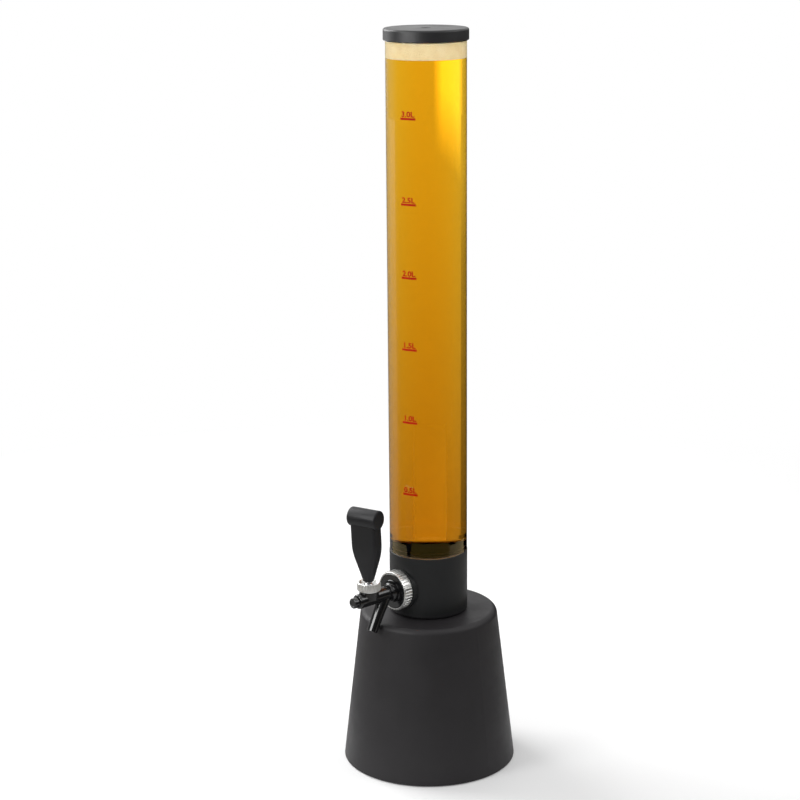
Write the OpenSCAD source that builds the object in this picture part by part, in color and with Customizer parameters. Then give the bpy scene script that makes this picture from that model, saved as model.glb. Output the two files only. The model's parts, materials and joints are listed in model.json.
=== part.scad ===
// Beer tower dispenser: a clear measuring tube on a screwed-in collar and a conical base,
// with a push lid and a lever tap whose ball lever slides a plunger off its valve seat.
// Millimetres, +Z up. The origin is the centre of the rest face, on the tube's axis,
// and the tap points along -Y.

/* [Base] */
// Radius of the base cone where it would meet the table
base_r = 100.8; // [90:0.1:115]
// Width of the flat top of the base, from the collar to the edge of the cone
base_shoulder_w = 34.2; // [30:0.1:35]
// Height of the flat top of the base
base_h = 183; // [150:1:230]
// Wall of the base shell
base_wall = 3; // [2:0.1:4]
// Thickness of the flat top of the base
base_top_t = 4; // [3:0.1:6]
// Radius of the rounded shoulder
shoulder_r = 7; // [5:0.1:12]
// Height of the shell's lower edge above the table
foot_gap = 1.2; // [0.8:0.1:2]
// Number of ribs under the top
rib_count = 8; // [4:1:12]
// Depth of the ribs under the top
rib_h = 34; // [16:1:50]
// Thickness of every rib
rib_t = 2.2; // [1.6:0.1:3]

/* [Bottom plate, pad and screws] */
// Thickness of the non-slip pad
pad_t = 3.2; // [2.8:0.1:5]
// Thickness of the bottom plate
plate_t = 3; // [2:0.1:4]
// Height of the bottom plate's stiffening ribs
plate_rib_h = 6; // [3:0.5:12]
// Number of ribs that cross the bottom plate
plate_rib_count = 4; // [3:1:8]
// Number of screws that hold the bottom plate
screw_count = 4; // [3:1:6]
// How far the screws stand in from the foot of the base cone
screw_inset = 16.8; // [14.8:0.1:26]
// Radius of the screw thread
screw_r = 2; // [1.5:0.1:2.5]
// Radius of the screw head
screw_head_r = 4; // [3.2:0.1:4.6]
// Height of the screw head
screw_head_h = 2.4; // [1.8:0.1:2.6]
// Length of the screw below its head
screw_len = 16; // [10:0.5:22]
// Radius of the screw bosses
boss_r = 6; // [5:0.1:7]
// Height of the screw bosses
boss_h = 26; // [24:1:40]

/* [Collar] */
// How far the collar stands out past the tube
collar_lip = 0.3; // [0.1:0.1:1.2]
// Height of the collar's rim above the tap's axis
collar_rise = 39; // [37.5:0.5:60]
// Wall of the collar round the liquid space
collar_wall = 5.3; // [4.8:0.1:6.5]
// Thickness of the collar's floor
collar_floor_t = 4.5; // [3:0.1:6]
// Depth of the skirt under the collar's floor
collar_skirt_h = 3.8; // [2:0.1:5]
// Depth of the socket that takes the tube's neck
socket_h = 20; // [14:0.5:22]
// How far the threaded spigot stands in from the collar's outside
spigot_inset = 11.3; // [10.3:0.1:15]
// Wall of the spigot
spigot_wall = 5; // [3:0.1:7]
// Length of the spigot below the base's top face
spigot_h = 25; // [22:0.5:30]
// Thickness of the washer between collar and base
collar_washer_t = 1.2; // [0.8:0.1:2]
// Height of the lock nut under the base
lock_nut_h = 11; // [8:0.5:12]
// Width of the lock nut's ring round the spigot
lock_nut_w = 6; // [4.6:0.1:8]
// Reach of the lock nut's wings beyond its ring
lock_nut_wing = 5; // [3:0.1:7]
// Number of wings on the lock nut
lock_nut_wings = 6; // [3:1:8]
// Depth of the ring boss that the lock nut bears on
nut_seat_h = 6; // [4:0.5:8]

/* [Tube] */
// Outside diameter of the tube
tube_d = 90; // [80:0.1:101]
// Wall of the tube
tube_wall = 2; // [1.6:0.1:2.4]
// Length of the tube from the collar's rim to its upper end
tube_len = 594; // [380:1:760]
// How far the threaded neck stands in from the tube's outside
neck_inset = 3.25; // [3:0.05:3.5]
// Wall of the neck
neck_wall = 1.85; // [1.5:0.05:2]
// Height over which the tube's wall narrows into the neck
tube_shoulder_h = 7; // [5:0.5:10]
// Thickness of the gasket under the neck
tube_gasket_t = 2; // [1.5:0.1:3]

/* [Lid] */
// How far the lid stands out past the tube
lid_overhang = 2.3; // [2:0.1:3.5]
// Overall height of the lid
lid_h = 13; // [10:0.1:18]
// Thickness of the lid's top
lid_top_t = 3; // [2.4:0.1:4]
// Radius of the lid's rounded top edge
lid_edge_r = 2.4; // [1.5:0.1:2.8]
// Depth of the ring that plugs into the tube
plug_h = 8.8; // [7:0.1:9.4]
// Wall of the plug ring
plug_wall = 3.2; // [2.6:0.1:3.8]
// Radius of the vent hole
vent_r = 1.5; // [1:0.1:2]
// Radius of the dimple round the vent
vent_dimple_r = 5; // [3:0.1:8]
// Thickness of the seal ring's cord
seal_cord_r = 1.3; // [1:0.05:1.5]

/* [Tap mounting] */
// Height of the tap's axis above the top of the base
tap_rise = 34; // [29:0.5:50]
// Radius of the flat boss on the collar behind the tap
tap_boss_r = 24; // [23.5:0.1:25]
// How far the boss's face stands in front of the collar's wall
tap_boss_h = 0.4; // [0.3:0.1:1]
// Inset of the flat seat inside the collar from the cavity's wall
inner_seat_inset = 3.2; // [3:0.1:4]
// Radius of the flat seat inside the collar
inner_seat_r = 14.5; // [14:0.1:15]
// Outside radius of the shank's thread
shank_r = 8.5; // [7:0.1:9]
// Radius of the shank's bore
shank_bore_r = 4.5; // [3:0.1:5]
// Reach of the shank inwards from the collar's boss face
shank_len = 20; // [18:0.5:24]
// Radius of the shank's drum
drum_r = 21.4; // [20.5:0.1:21.6]
// Length of the drum
drum_h = 5.6; // [4:0.1:7]
// Thickness of the outer rubber washer
outer_washer_t = 1.3; // [1:0.1:2]
// Thickness of the inner rubber washer
inner_washer_t = 1.5; // [1:0.1:2]
// Thickness of the shank nut
shank_nut_h = 6; // [4:0.1:7]
// Radius of the shank nut across its corners
shank_nut_r = 13.8; // [12:0.1:14.2]

/* [Coupling nut] */
// Outside radius of the knurled coupling nut
coupling_r = 23; // [22.6:0.1:23.4]
// Thickness of the nut's front lip
coupling_lip_t = 2.05; // [1.5:0.05:3]
// How far the lip reaches in over the tap's flange
coupling_lip_w = 0.75; // [0.5:0.05:1.2]
// Gap between the nut's back and the collar's boss
coupling_back_gap = 0.3; // [0.2:0.05:0.6]
// Number of ridges on the coupling nut
coupling_ridges = 48; // [24:1:60]
// Depth of the ridges
ridge_depth = 0.6; // [0.3:0.05:0.8]

/* [Tap body] */
// Thickness of the gasket between shank and tap body
hub_gasket_t = 0.8; // [0.6:0.1:2]
// Thickness of the flange that the coupling nut holds
flange_t = 2.5; // [1.5:0.1:4]
// Height of the black disc inside the coupling nut
disc_h = 2.5; // [2:0.1:4]
// Radius of the bell where the barrel leaves the disc
bell_r = 12.5; // [11:0.1:14]
// Length of the bell
bell_h = 7; // [4:0.1:10]
// Radius of the barrel
barrel_r = 8.5; // [8:0.1:9]
// How far the barrel reaches in front of the upright boss
barrel_overhang = 0.8; // [0.4:0.1:4]
// Radius of the valve chamber
chamber_r = 6.4; // [6:0.1:7]
// Depth of the valve chamber from the body's back
chamber_h = 7.6; // [7:0.1:9]
// Radius of the throat behind the spout
throat_r = 4.4; // [4:0.1:5]
// Distance of the lever's axis in front of the body's back
lever_reach = 40.1; // [39:0.1:42]
// Radius of the upright boss under the lever
lever_boss_r = 11.2; // [10.5:0.1:12]
// Height of the upright boss above the barrel's axis
lever_boss_h = 10; // [9.6:0.1:11]
// Height of the threaded neck on the upright boss
lever_neck_h = 4.8; // [4.4:0.1:5.2]
// Radius of the threaded neck on the upright boss
lever_neck_r = 10; // [9.6:0.1:10.4]

/* [Spout] */
// Distance of the spout's root in front of the body's back
spout_reach = 15.1; // [14:0.1:17]
// Forward lean of the spout from upright
spout_lean = 27; // [15:0.5:32]
// Length of the spout from the barrel's axis to its outlet
spout_len = 46.5; // [40:0.5:60]
// Radius of the spout below its socket
spout_top_r = 7; // [6.5:0.1:7.4]
// Radius of the spout at its outlet
spout_end_r = 6.2; // [5.5:0.1:6.8]
// Radius of the spout's bore
spout_bore_r = 4; // [3:0.1:4.4]
// Outside radius of the socket on the barrel
spout_socket_r = 7.5; // [7.4:0.1:8.5]
// Length of the socket from the barrel's axis
spout_socket_h = 16; // [14:0.5:20]
// Radius of the spout's push-in end
spout_insert_r = 5.5; // [5:0.1:6]

/* [Front cap] */
// Radius of the knob on the front cap
cap_knob_r = 6.1; // [5:0.1:7]
// Length of the rounded nose of the front cap
cap_nose_h = 6.5; // [5.5:0.1:9]
// Length of the knob
cap_knob_h = 5.4; // [4:0.1:9]
// Width of the groove behind the knob
cap_groove_w = 1.2; // [0.8:0.1:2]
// Radius of the cap's plug in the barrel
cap_plug_r = 6; // [5:0.1:6.2]
// Length of the cap's plug in the barrel
cap_plug_h = 6; // [4:0.1:7]

/* [Plunger and seals] */
// Radius of the plunger's guided part
plunger_r = 3.5; // [3:0.1:3.8]
// Radius of the plunger's rod in the throat
plunger_rod_r = 2.6; // [2:0.1:3]
// Radius of the flange behind the valve seal
plunger_flange_r = 5; // [4.5:0.1:5.6]
// Outside radius of the valve seal
valve_seal_r = 5.6; // [5:0.1:5.8]
// Length of the valve seal's cylindrical part
valve_seal_h = 2.5; // [1.5:0.1:3]
// Width of the seal ring round the plunger
plunger_ring_w = 2.2; // [1.5:0.1:3]

/* [Lever] */
// Distance from the plunger's axis up to the lever's pivot
lever_arm = 14.3; // [14:0.1:15]
// Radius of the lever's ball
ball_r = 5.5; // [5:0.1:5.6]
// Radius of the finger below the ball
finger_r = 1.5; // [1.2:0.1:1.6]
// Radius of the finger's round tip
finger_tip_r = 2; // [1.7:0.1:2.1]
// Radius of the stud above the ball
stud_r = 2.5; // [2:0.1:2.8]
// Length of the stud above the pivot
stud_len = 28; // [20:0.5:40]
// Forward lean of the closed lever
lever_lean = 3; // [0:0.5:4]
// How far the lever tips forward from closed to open
lever_travel = 25; // [15:0.5:25]
// Outside radius of the knurled bonnet round the ball
bonnet_r = 13.6; // [13.2:0.1:14.5]
// Height of the bonnet
bonnet_h = 9.7; // [9.2:0.1:11]
// Number of notches round the bonnet
bonnet_notches = 28; // [16:1:36]

/* [Handle] */
// How far the handle is turned on its stud
handle_turn = 14; // [0:1:30]
// Radius of the handle's neck
handle_neck_r = 6.2; // [5.5:0.1:6.5]
// Height of the handle's lower end above the pivot
handle_foot_h = 6.6; // [6.4:0.1:8]
// Width of the paddle
paddle_w = 32.5; // [26:0.5:36]
// Thickness of the paddle
paddle_t = 17; // [13:0.5:20]
// Radius of the paddle's rounded corners
paddle_corner_r = 3.2; // [2:0.1:5]
// Height above the pivot at which the paddle is full width
paddle_full_h = 45; // [38:0.5:55]
// Radius of the cross roll at the top
head_r = 11; // [9:0.1:13]
// Length of the cross roll
head_len = 38; // [30:0.5:46]
// Height of the cross roll's axis above the pivot
head_h = 82.6; // [70:0.1:100]
// Radius of the roll's rounded ends
head_edge_r = 1.8; // [1:0.1:3]

/* [Clearances] */
// Clearance of parts that are pushed or screwed together
fit_gap = 0.1; // [0.05:0.01:0.1]
// Radial clearance of sliding guides
slide_gap = 0.06; // [0.02:0.01:0.1]
// Clearance between a soft seal and the moving part it serves
seal_gap = 0.3; // [0.3:0.01:0.4]

/* [Hidden] */
$fn = 96;
eps = 0.01;

// heights above the table
tap_z = base_h + tap_rise;
collar_top_z = tap_z + collar_rise;
tube_top_z = collar_top_z + tube_len;

// radii that follow the tube
tube_r = tube_d / 2;
tube_in_r = tube_r - tube_wall;
neck_r = tube_r - neck_inset;
neck_in_r = neck_r - neck_wall;
collar_r = tube_r + collar_lip;
cavity_r = collar_r - collar_wall;
spigot_r = collar_r - spigot_inset;
lock_nut_r = spigot_r + lock_nut_w;
lid_r = tube_r + lid_overhang;
base_top_r = collar_r + base_shoulder_w;

// base
base_slope = (base_r - base_top_r) / base_h;
base_side_angle = atan(base_slope);
plate_top_z = pad_t + plate_t;
screw_circle_r = base_r - screw_inset;
spigot_hole_r = spigot_r + fit_gap;
nut_seat_r = spigot_r + 4.5;
nut_seat_z = base_h - base_top_t - nut_seat_h;
nut_reach = lock_nut_r + lock_nut_wing;
rib_foot_z = base_h - base_top_t - rib_h;
boss_top_z = plate_top_z + boss_h;
plate_ring_r = screw_circle_r - boss_r - 4;

// collar and tube
collar_foot_z = base_h + collar_washer_t;
cavity_floor_z = collar_foot_z + collar_skirt_h + collar_floor_t;
socket_z = collar_top_z - socket_h;
socket_r = neck_r + fit_gap;
neck_foot_z = socket_z + tube_gasket_t;

// lid
lid_foot_z = tube_top_z + lid_top_t - lid_h;
lid_seal_r = tube_in_r - 0.07;
plug_r = lid_seal_r - 0.9;
lid_seal_z = tube_top_z - plug_h / 2;

// distances in front of the tower's axis, for the tap
boss_face = collar_r + tap_boss_h;
inner_seat = cavity_r - inner_seat_inset;
drum_back = boss_face + outer_washer_t;
drum_face = drum_back + drum_h;
body_back = drum_face + hub_gasket_t;
flange_face = body_back + flange_t;
disc_face = flange_face + disc_h;
bell_face = disc_face + bell_h;
coupling_back = boss_face + coupling_back_gap;
coupling_face = flange_face + eps * 5 + coupling_lip_t;
disc_r = drum_r + slide_gap - coupling_lip_w - fit_gap;
spout_y = body_back + spout_reach;
lever_y = body_back + lever_reach;
barrel_end = lever_y + lever_boss_r + barrel_overhang;
chamber_end = body_back + chamber_h;
throat_start = chamber_end + chamber_r - throat_r;

// lever and plunger
pivot_z = tap_z + lever_arm;
tip_y = lever_y - lever_arm * sin(lever_lean);
plunger_travel = lever_arm * (sin(lever_lean + lever_travel) - sin(lever_lean));
well_half_w = finger_tip_r + 0.6;
well_back = tip_y - plunger_travel - finger_tip_r - 0.6;
well_front = lever_y + finger_tip_r + 0.9;
guide_back = well_back - 6.8;
ring_groove_back = guide_back + 2.2;
slot_half = finger_tip_r + 0.35;
flat_h = finger_tip_r + 0.2;
nose_r = throat_r - 0.3;
seal_nose = chamber_end + chamber_r - seal_gap * sqrt(2) - nose_r;
seal_cone_start = chamber_end + chamber_r - seal_gap * sqrt(2) - valve_seal_r;
seal_back = seal_cone_start - valve_seal_h;
plunger_front = barrel_end + cap_nose_h - plunger_travel + 3.4;
cap_bore_end = plunger_front + 2.4;
bonnet_foot_z = tap_z + lever_boss_h + 0.3;
bonnet_plate_z = pivot_z + 2.3;
neck_top_z = tap_z + lever_boss_h + lever_neck_h;
ball_well_z = pivot_z - 3.7;

// radius of the base cone at a height
function base_r_at(z) = base_r - base_slope * z;

// radius of the middle of the base shell's wall at a height
function mid_wall_at(z) = base_r_at(z) - base_wall / 2;

// points of an arc about [x, y], from one angle to another
function arc(x, y, r, from, to, steps = 8) =
    [for (i = [0 : steps]) let (a = from + (to - from) * i / steps) [x + r * cos(a), y + r * sin(a)]];

// closed outline with one V-shaped ridge per step round a circle
function ridged_ring(r, depth, count) =
    [for (i = [0 : 2 * count - 1]) let (a = 180 * i / count, q = i % 2 == 0 ? r : r - depth)
        [q * cos(a), q * sin(a)]];

// outline of a rectangle with round corners, centred
function rounded_outline(w, t, r) = concat(
    arc(w / 2 - r, t / 2 - r, r, 0, 90, 6),
    arc(r - w / 2, t / 2 - r, r, 90, 180, 6),
    arc(r - w / 2, r - t / 2, r, 180, 270, 6),
    arc(w / 2 - r, r - t / 2, r, 270, 360, 6));

// turns a shape that stands on the table plane so that it points along the tap
module along_tap() {
    translate([0, 0, tap_z]) rotate([90, 0, 0]) children();
}

// a ring between two distances along the tap
module tap_ring(outer, inner, from, to) {
    along_tap() translate([0, 0, from]) difference() {
        cylinder(r = outer, h = to - from);
        translate([0, 0, -1]) cylinder(r = inner, h = to - from + 2);
    }
}

// a flat ring that lies on the table plane
module flat_ring(outer, inner, from, to) {
    translate([0, 0, from]) difference() {
        cylinder(r = outer, h = to - from);
        translate([0, 0, -1]) cylinder(r = inner, h = to - from + 2);
    }
}

// copies its children round the tower's axis
module around(count, start = 0) {
    for (i = [0 : count - 1]) rotate([0, 0, start + 360 * i / count]) children();
}

// places children in the closed lever's own frame, with the pivot as origin
module at_lever() {
    translate([0, -lever_y, pivot_z]) rotate([lever_lean, 0, 0]) children();
}

// places children on the spout's axis, pointing out of the outlet
module along_spout() {
    translate([0, -spout_y, tap_z]) rotate([180 - spout_lean, 0, 0]) children();
}

// an upright fin of the ribs' thickness, from its outline beside the tower's axis
module fin(outline) {
    translate([0, rib_t / 2, 0]) rotate([90, 0, 0]) linear_extrude(height = rib_t) polygon(outline);
}

// outline of the base shell's wall: cone, rounded shoulder and flat top
module base_wall_outline() {
    side = base_wall / cos(base_side_angle);
    out_z = base_h - shoulder_r;
    out_x = base_r_at(out_z) - shoulder_r / cos(base_side_angle);
    in_r = shoulder_r - base_wall;
    in_z = base_h - base_top_t - in_r;
    in_x = base_r_at(in_z) - side - in_r / cos(base_side_angle);
    polygon(concat(
        [[base_r_at(foot_gap) - side, foot_gap], [base_r_at(foot_gap), foot_gap]],
        arc(out_x, out_z, shoulder_r, base_side_angle, 90),
        [[spigot_hole_r, base_h], [spigot_hole_r, nut_seat_z], [nut_seat_r, nut_seat_z],
         [nut_seat_r, base_h - base_top_t]],
        arc(in_x, in_z, in_r, 90, base_side_angle)));
}

module base_shell() {
    color([0.13, 0.13, 0.14]) difference() {
        union() {
            rotate_extrude() base_wall_outline();
            // ribs fan out from the nut's seat to the wall, clear of the nut's wings
            around(rib_count, 180 / rib_count) fin([
                [nut_seat_r - 1, nut_seat_z], [nut_reach + 1.5, nut_seat_z],
                [mid_wall_at(rib_foot_z), rib_foot_z],
                [mid_wall_at(base_h - shoulder_r), base_h - shoulder_r],
                [base_top_r - shoulder_r, base_h - base_top_t / 2],
                [nut_seat_r - 1, base_h - base_top_t / 2]]);
            // screw bosses stand on the bottom plate, each with a web to the wall
            around(screw_count, 45) {
                translate([screw_circle_r, 0, plate_top_z]) cylinder(r = boss_r, h = boss_h);
                fin([
                    [screw_circle_r, plate_top_z], [mid_wall_at(plate_top_z), plate_top_z],
                    [mid_wall_at(boss_top_z + 8), boss_top_z + 8], [screw_circle_r, boss_top_z]]);
            }
        }
        around(screw_count, 45) translate([screw_circle_r, 0, plate_top_z - 1])
            cylinder(r = screw_r + 0.05, h = screw_len - plate_t + 3);
    }
}

module bottom_plate() {
    plate_r = base_r_at(plate_top_z) - base_wall / cos(base_side_angle) - 0.3;
    color([0.16, 0.16, 0.17]) difference() {
        union() {
            translate([0, 0, pad_t]) cylinder(r = plate_r, h = plate_t);
            // ring and cross of stiffening ribs
            flat_ring(plate_ring_r, plate_ring_r - rib_t,
                plate_top_z - eps, plate_top_z + plate_rib_h);
            around(plate_rib_count) translate([0, -rib_t / 2, plate_top_z - eps])
                cube([plate_ring_r - 1, rib_t, plate_rib_h]);
        }
        around(screw_count, 45) translate([screw_circle_r, 0, pad_t - 1])
            cylinder(r = screw_r + 0.3, h = plate_t + 2);
    }
}

module bottom_screws() {
    color([0.75, 0.76, 0.78]) around(screw_count, 45) translate([screw_circle_r, 0, pad_t]) {
        difference() {
            union() {
                translate([0, 0, -screw_head_h]) cylinder(r = screw_head_r, h = screw_head_h);
                translate([0, 0, -eps]) cylinder(r = screw_r, h = screw_len - 2 + eps);
                translate([0, 0, screw_len - 2]) cylinder(r1 = screw_r, r2 = screw_r / 3, h = 2);
            }
            // cross recess
            for (a = [0, 90]) rotate([0, 0, a])
                translate([-screw_head_r * 0.6, -0.5, -screw_head_h - 1])
                    cube([screw_head_r * 1.2, 1, 2.2]);
        }
    }
}

module non_slip_pad() {
    pad_r = base_r_at(0) - base_wall - 1.4;
    color([0.08, 0.08, 0.08]) difference() {
        rotate_extrude() polygon([[0, 0], [pad_r - 1, 0], [pad_r, 1], [pad_r, pad_t], [0, pad_t]]);
        around(screw_count, 45) translate([screw_circle_r, 0, -1])
            cylinder(r = screw_head_r + 1.2, h = pad_t + 2);
    }
}

module collar_wall_outline() {
    edge = 1.5;
    bowl = 4;
    polygon(concat(
        [[0, cavity_floor_z - collar_floor_t], [spigot_r - spigot_wall, cavity_floor_z - collar_floor_t],
         [spigot_r - spigot_wall, base_h - spigot_h], [spigot_r - 0.8, base_h - spigot_h],
         [spigot_r, base_h - spigot_h + 0.8], [spigot_r, collar_foot_z]],
        arc(collar_r - edge, collar_foot_z + edge, edge, 270, 360, 5),
        [[collar_r, collar_top_z - 0.4], [collar_r - 0.4, collar_top_z], [socket_r + 0.5, collar_top_z],
         [socket_r, collar_top_z - 0.5], [socket_r, socket_z], [cavity_r, socket_z]],
        arc(cavity_r - bowl, cavity_floor_z + bowl, bowl, 360, 270, 6),
        [[0, cavity_floor_z]]));
}

module collar() {
    color([0.14, 0.14, 0.15]) difference() {
        union() {
            rotate_extrude() collar_wall_outline();
            // flat bosses for the tap, outside and inside the wall
            intersection() {
                along_tap() cylinder(r = tap_boss_r, h = boss_face);
                difference() {
                    cylinder(r = collar_r + 10, h = collar_top_z);
                    cylinder(r = (collar_r + cavity_r) / 2, h = collar_top_z + 1);
                }
            }
            along_tap() translate([0, 0, inner_seat]) cylinder(r = inner_seat_r, h = cavity_r - inner_seat);
        }
        along_tap() cylinder(r = shank_r + fit_gap, h = collar_r + 10);
    }
}

module collar_washer() {
    color([0.1, 0.1, 0.1])
        flat_ring(collar_r - 3.5, spigot_r + 1.5, base_h, collar_foot_z);
}

module collar_lock_nut() {
    color([0.3, 0.3, 0.32]) difference() {
        union() {
            translate([0, 0, nut_seat_z - lock_nut_h]) cylinder(r = lock_nut_r, h = lock_nut_h);
            around(lock_nut_wings) translate([spigot_r + 3, -2, nut_seat_z - lock_nut_h])
                cube([nut_reach - spigot_r - 3, 4, lock_nut_h - 2]);
        }
        translate([0, 0, nut_seat_z - lock_nut_h - 1]) cylinder(r = spigot_r + fit_gap, h = lock_nut_h + 2);
    }
}

module tube() {
    bevel = 0.8;
    foot = collar_top_z;
    color([0.86, 0.9, 0.92, 0.4]) rotate_extrude() polygon([
        [neck_in_r, neck_foot_z], [neck_r, neck_foot_z], [neck_r, foot], [tube_r - bevel, foot],
        [tube_r, foot + bevel], [tube_r, tube_top_z - 0.5], [tube_r - 0.5, tube_top_z],
        [tube_in_r + 0.5, tube_top_z], [tube_in_r, tube_top_z - 0.5],
        [tube_in_r, foot + tube_shoulder_h], [neck_in_r, foot + tube_shoulder_h - 4]]);
}

module tube_gasket() {
    color([0.2, 0.2, 0.2]) flat_ring(socket_r - 0.15, neck_in_r + 0.25, socket_z, neck_foot_z);
}

module lid() {
    top_z = tube_top_z + lid_top_t;
    skirt_in = tube_r + 0.4;
    groove_r = lid_seal_r - 2 * seal_cord_r;
    color([0.15, 0.15, 0.16]) difference() {
        rotate_extrude() polygon(concat(
            [[0, tube_top_z], [plug_r - plug_wall, tube_top_z], [plug_r - plug_wall, tube_top_z - plug_h],
             [plug_r - 0.6, tube_top_z - plug_h], [plug_r, tube_top_z - plug_h + 0.6],
             [plug_r, lid_seal_z - seal_cord_r], [groove_r, lid_seal_z - seal_cord_r],
             [groove_r, lid_seal_z + seal_cord_r], [plug_r, lid_seal_z + seal_cord_r],
             [plug_r, tube_top_z], [skirt_in, tube_top_z], [skirt_in, lid_foot_z + 0.6],
             [skirt_in + 0.6, lid_foot_z], [lid_r - 0.5, lid_foot_z], [lid_r, lid_foot_z + 0.5]],
            arc(lid_r - lid_edge_r, top_z - lid_edge_r, lid_edge_r, 0, 90, 8),
            [[lid_r - lid_edge_r - 4, top_z - 0.25], [vent_dimple_r + 1, top_z - 0.25],
             [vent_dimple_r - 1, top_z - 1.2], [0, top_z - 1.2]]));
        translate([0, 0, tube_top_z - 1]) cylinder(r = vent_r, h = lid_top_t + 2);
    }
}

module lid_seal() {
    color([0.25, 0.25, 0.25]) translate([0, 0, lid_seal_z]) rotate_extrude()
        translate([lid_seal_r - seal_cord_r, 0]) circle(r = seal_cord_r - 0.02, $fn = 24);
}

module tap_shank() {
    bore_step = plunger_flange_r + 1.4;
    color([0.2, 0.2, 0.21]) along_tap() rotate_extrude() polygon([
        [shank_bore_r, boss_face - shank_len], [shank_r - 0.8, boss_face - shank_len],
        [shank_r, boss_face - shank_len + 0.8], [shank_r, drum_back], [drum_r - 0.6, drum_back],
        [drum_r, drum_back + 0.6], [drum_r, drum_face], [bore_step, drum_face],
        [bore_step, drum_back + 1.4], [shank_bore_r, drum_back + 1.4]]);
}

module outer_washer() {
    color([0.1, 0.1, 0.1]) tap_ring(drum_r - 3, shank_r + fit_gap, boss_face, drum_back);
}

module inner_washer() {
    color([0.1, 0.1, 0.1])
        tap_ring(inner_seat_r - 1, shank_r + fit_gap, inner_seat - inner_washer_t, inner_seat);
}

module shank_nut() {
    face = inner_seat - inner_washer_t;
    color([0.35, 0.35, 0.37]) along_tap() translate([0, 0, face - shank_nut_h]) difference() {
        rotate([0, 0, 30]) cylinder(r = shank_nut_r, h = shank_nut_h, $fn = 6);
        translate([0, 0, -1]) cylinder(r = shank_r + fit_gap, h = shank_nut_h + 2);
    }
}

module hub_gasket() {
    color([0.1, 0.1, 0.1]) tap_ring(drum_r - 2, plunger_flange_r + 1.6, drum_face, body_back);
}

module coupling_nut() {
    length = coupling_face - coupling_back;
    color([0.8, 0.8, 0.82]) along_tap() translate([0, 0, coupling_back]) difference() {
        intersection() {
            linear_extrude(height = length) polygon(ridged_ring(coupling_r, ridge_depth, coupling_ridges));
            // chamfers at both rims
            rotate_extrude() polygon([[0, 0], [coupling_r - 0.8, 0], [coupling_r + 0.1, 0.9],
                [coupling_r + 0.1, length - 0.9], [coupling_r - 0.8, length], [0, length]]);
        }
        translate([0, 0, -1]) cylinder(r = drum_r + slide_gap, h = length - coupling_lip_t + 1);
        cylinder(r = disc_r + fit_gap, h = length + 1);
    }
}

module tap_body() {
    cap_socket_back = barrel_end - cap_plug_h - 0.2;
    color([0.1, 0.1, 0.11]) difference() {
        union() {
            along_tap() rotate_extrude() polygon(concat(
                [[0, body_back], [drum_r, body_back], [drum_r, flange_face], [disc_r, flange_face],
                 [disc_r, disc_face - 0.9], [disc_r - 0.9, disc_face], [bell_r + 0.5, disc_face],
                 [bell_r, disc_face + 0.5]],
                arc(bell_r, bell_face, bell_r - barrel_r, 270, 180, 8),
                [[barrel_r, barrel_end], [0, barrel_end]]));
            // upright boss with the neck that the bonnet screws on
            translate([0, -lever_y, tap_z]) {
                cylinder(r = lever_boss_r, h = lever_boss_h);
                cylinder(r = lever_neck_r, h = lever_boss_h + lever_neck_h);
            }
            along_spout() cylinder(r = spout_socket_r, h = spout_socket_h);
        }
        // chamber, seat, throat, plunger guide and the cap's bore
        along_tap() rotate_extrude() polygon([
            [0, body_back - 1], [chamber_r, body_back - 1], [chamber_r, chamber_end],
            [throat_r, throat_start], [throat_r, guide_back], [plunger_r + slide_gap, guide_back],
            [plunger_r + slide_gap, ring_groove_back], [plunger_r + 1.2, ring_groove_back],
            [plunger_r + 1.2, ring_groove_back + plunger_ring_w],
            [plunger_r + slide_gap, ring_groove_back + plunger_ring_w],
            [plunger_r + slide_gap, well_back], [plunger_r + 0.4, well_back],
            [plunger_r + 0.4, cap_socket_back], [cap_plug_r + fit_gap, cap_socket_back],
            [cap_plug_r + fit_gap, barrel_end + 1], [0, barrel_end + 1]]);
        // well in which the lever's finger swings
        translate([-well_half_w, -well_front, tap_z]) cube([2 * well_half_w, well_front - well_back, 9.6]);
        translate([0, -lever_y, tap_z + 5]) cylinder(r = 4.7, h = lever_boss_h);
        translate([0, -lever_y, ball_well_z]) cylinder(r = ball_r + 2.1, h = lever_arm);
        along_spout() cylinder(r = spout_bore_r, h = spout_socket_h + 1);
        along_spout() translate([0, 0, spout_socket_h - 7]) cylinder(r = spout_insert_r + fit_gap, h = 9);
    }
}

module spout() {
    insert_top = spout_socket_h - 6.8;
    color([0.1, 0.1, 0.11]) along_spout() rotate_extrude() polygon([
        [spout_bore_r, insert_top], [spout_insert_r, insert_top], [spout_insert_r, spout_socket_h],
        [spout_top_r, spout_socket_h], [spout_top_r, spout_socket_h + 3], [spout_end_r, spout_len - 0.6],
        [spout_end_r - 0.6, spout_len], [spout_bore_r + 0.5, spout_len], [spout_bore_r, spout_len - 0.8]]);
}

module front_cap() {
    nose_round = 2.6;
    knob_round = 1.2;
    dish = 0.7;
    groove = barrel_end + cap_nose_h;
    knob = groove + cap_groove_w;
    tip = knob + cap_knob_h;
    color([0.1, 0.1, 0.11]) along_tap() rotate_extrude() polygon(concat(
        [[plunger_r + slide_gap, barrel_end - cap_plug_h], [cap_plug_r, barrel_end - cap_plug_h],
         [cap_plug_r, barrel_end], [barrel_r, barrel_end]],
        arc(barrel_r - nose_round, groove - nose_round, nose_round, 0, 90, 6),
        [[cap_knob_r - 0.8, groove], [cap_knob_r - 0.8, knob],
         [cap_knob_r - 0.3, knob], [cap_knob_r, knob + 0.3]],
        arc(cap_knob_r - knob_round, tip - knob_round, knob_round, 0, 90, 4),
        [[cap_knob_r - knob_round - dish, tip], [cap_knob_r - knob_round - 2 * dish, tip - dish],
         [0, tip - dish], [0, cap_bore_end], [plunger_r + slide_gap, cap_bore_end]]));
}

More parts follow.
